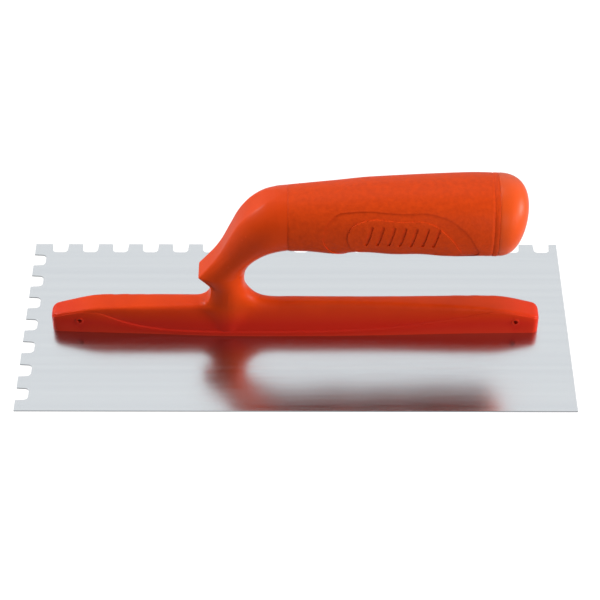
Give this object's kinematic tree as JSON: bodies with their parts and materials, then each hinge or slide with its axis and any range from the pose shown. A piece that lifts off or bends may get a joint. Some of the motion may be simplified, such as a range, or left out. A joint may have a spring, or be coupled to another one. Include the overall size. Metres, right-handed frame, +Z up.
{
  "type": "notched trowel",
  "caption": "Thin flat rectangular blade with square notches along one long and one short edge, and an open lengthwise handle on a narrow raised spine.",
  "frame": {"origin": "centre of the blade's underside", "axes": "+X along the blade from its notched short edge to its plain short edge, +Y across the blade to its notched long edge, +Z up from the blade to the handle"},
  "size_m": [0.28, 0.12, 0.0995],
  "materials": {
    "blade_steel": "polished with faint lengthwise brushing",
    "rail_steel": "dull pressed sheet",
    "rivet_steel": "satin",
    "pin_steel": "dull",
    "handle_plastic": "satin moulded",
    "sleeve_rubber": "fine leather grain",
    "cap_plastic": "smooth semi-gloss"
  },
  "bodies": {
    "root": {"blade": "blade_steel", "mounting_rail": "rail_steel", "rivet_1": "rivet_steel", "rivet_2": "rivet_steel", "rivet_3": "rivet_steel", "rivet_4": "rivet_steel", "rivet_5": "rivet_steel", "rivet_6": "rivet_steel", "rivet_7": "rivet_steel", "rivet_8": "rivet_steel", "cross_pin_front": "pin_steel", "cross_pin_rear": "pin_steel", "handle": "handle_plastic", "grip_sleeve": "sleeve_rubber", "grip_end_cap": "cap_plastic"}
  },
  "joints": []
}
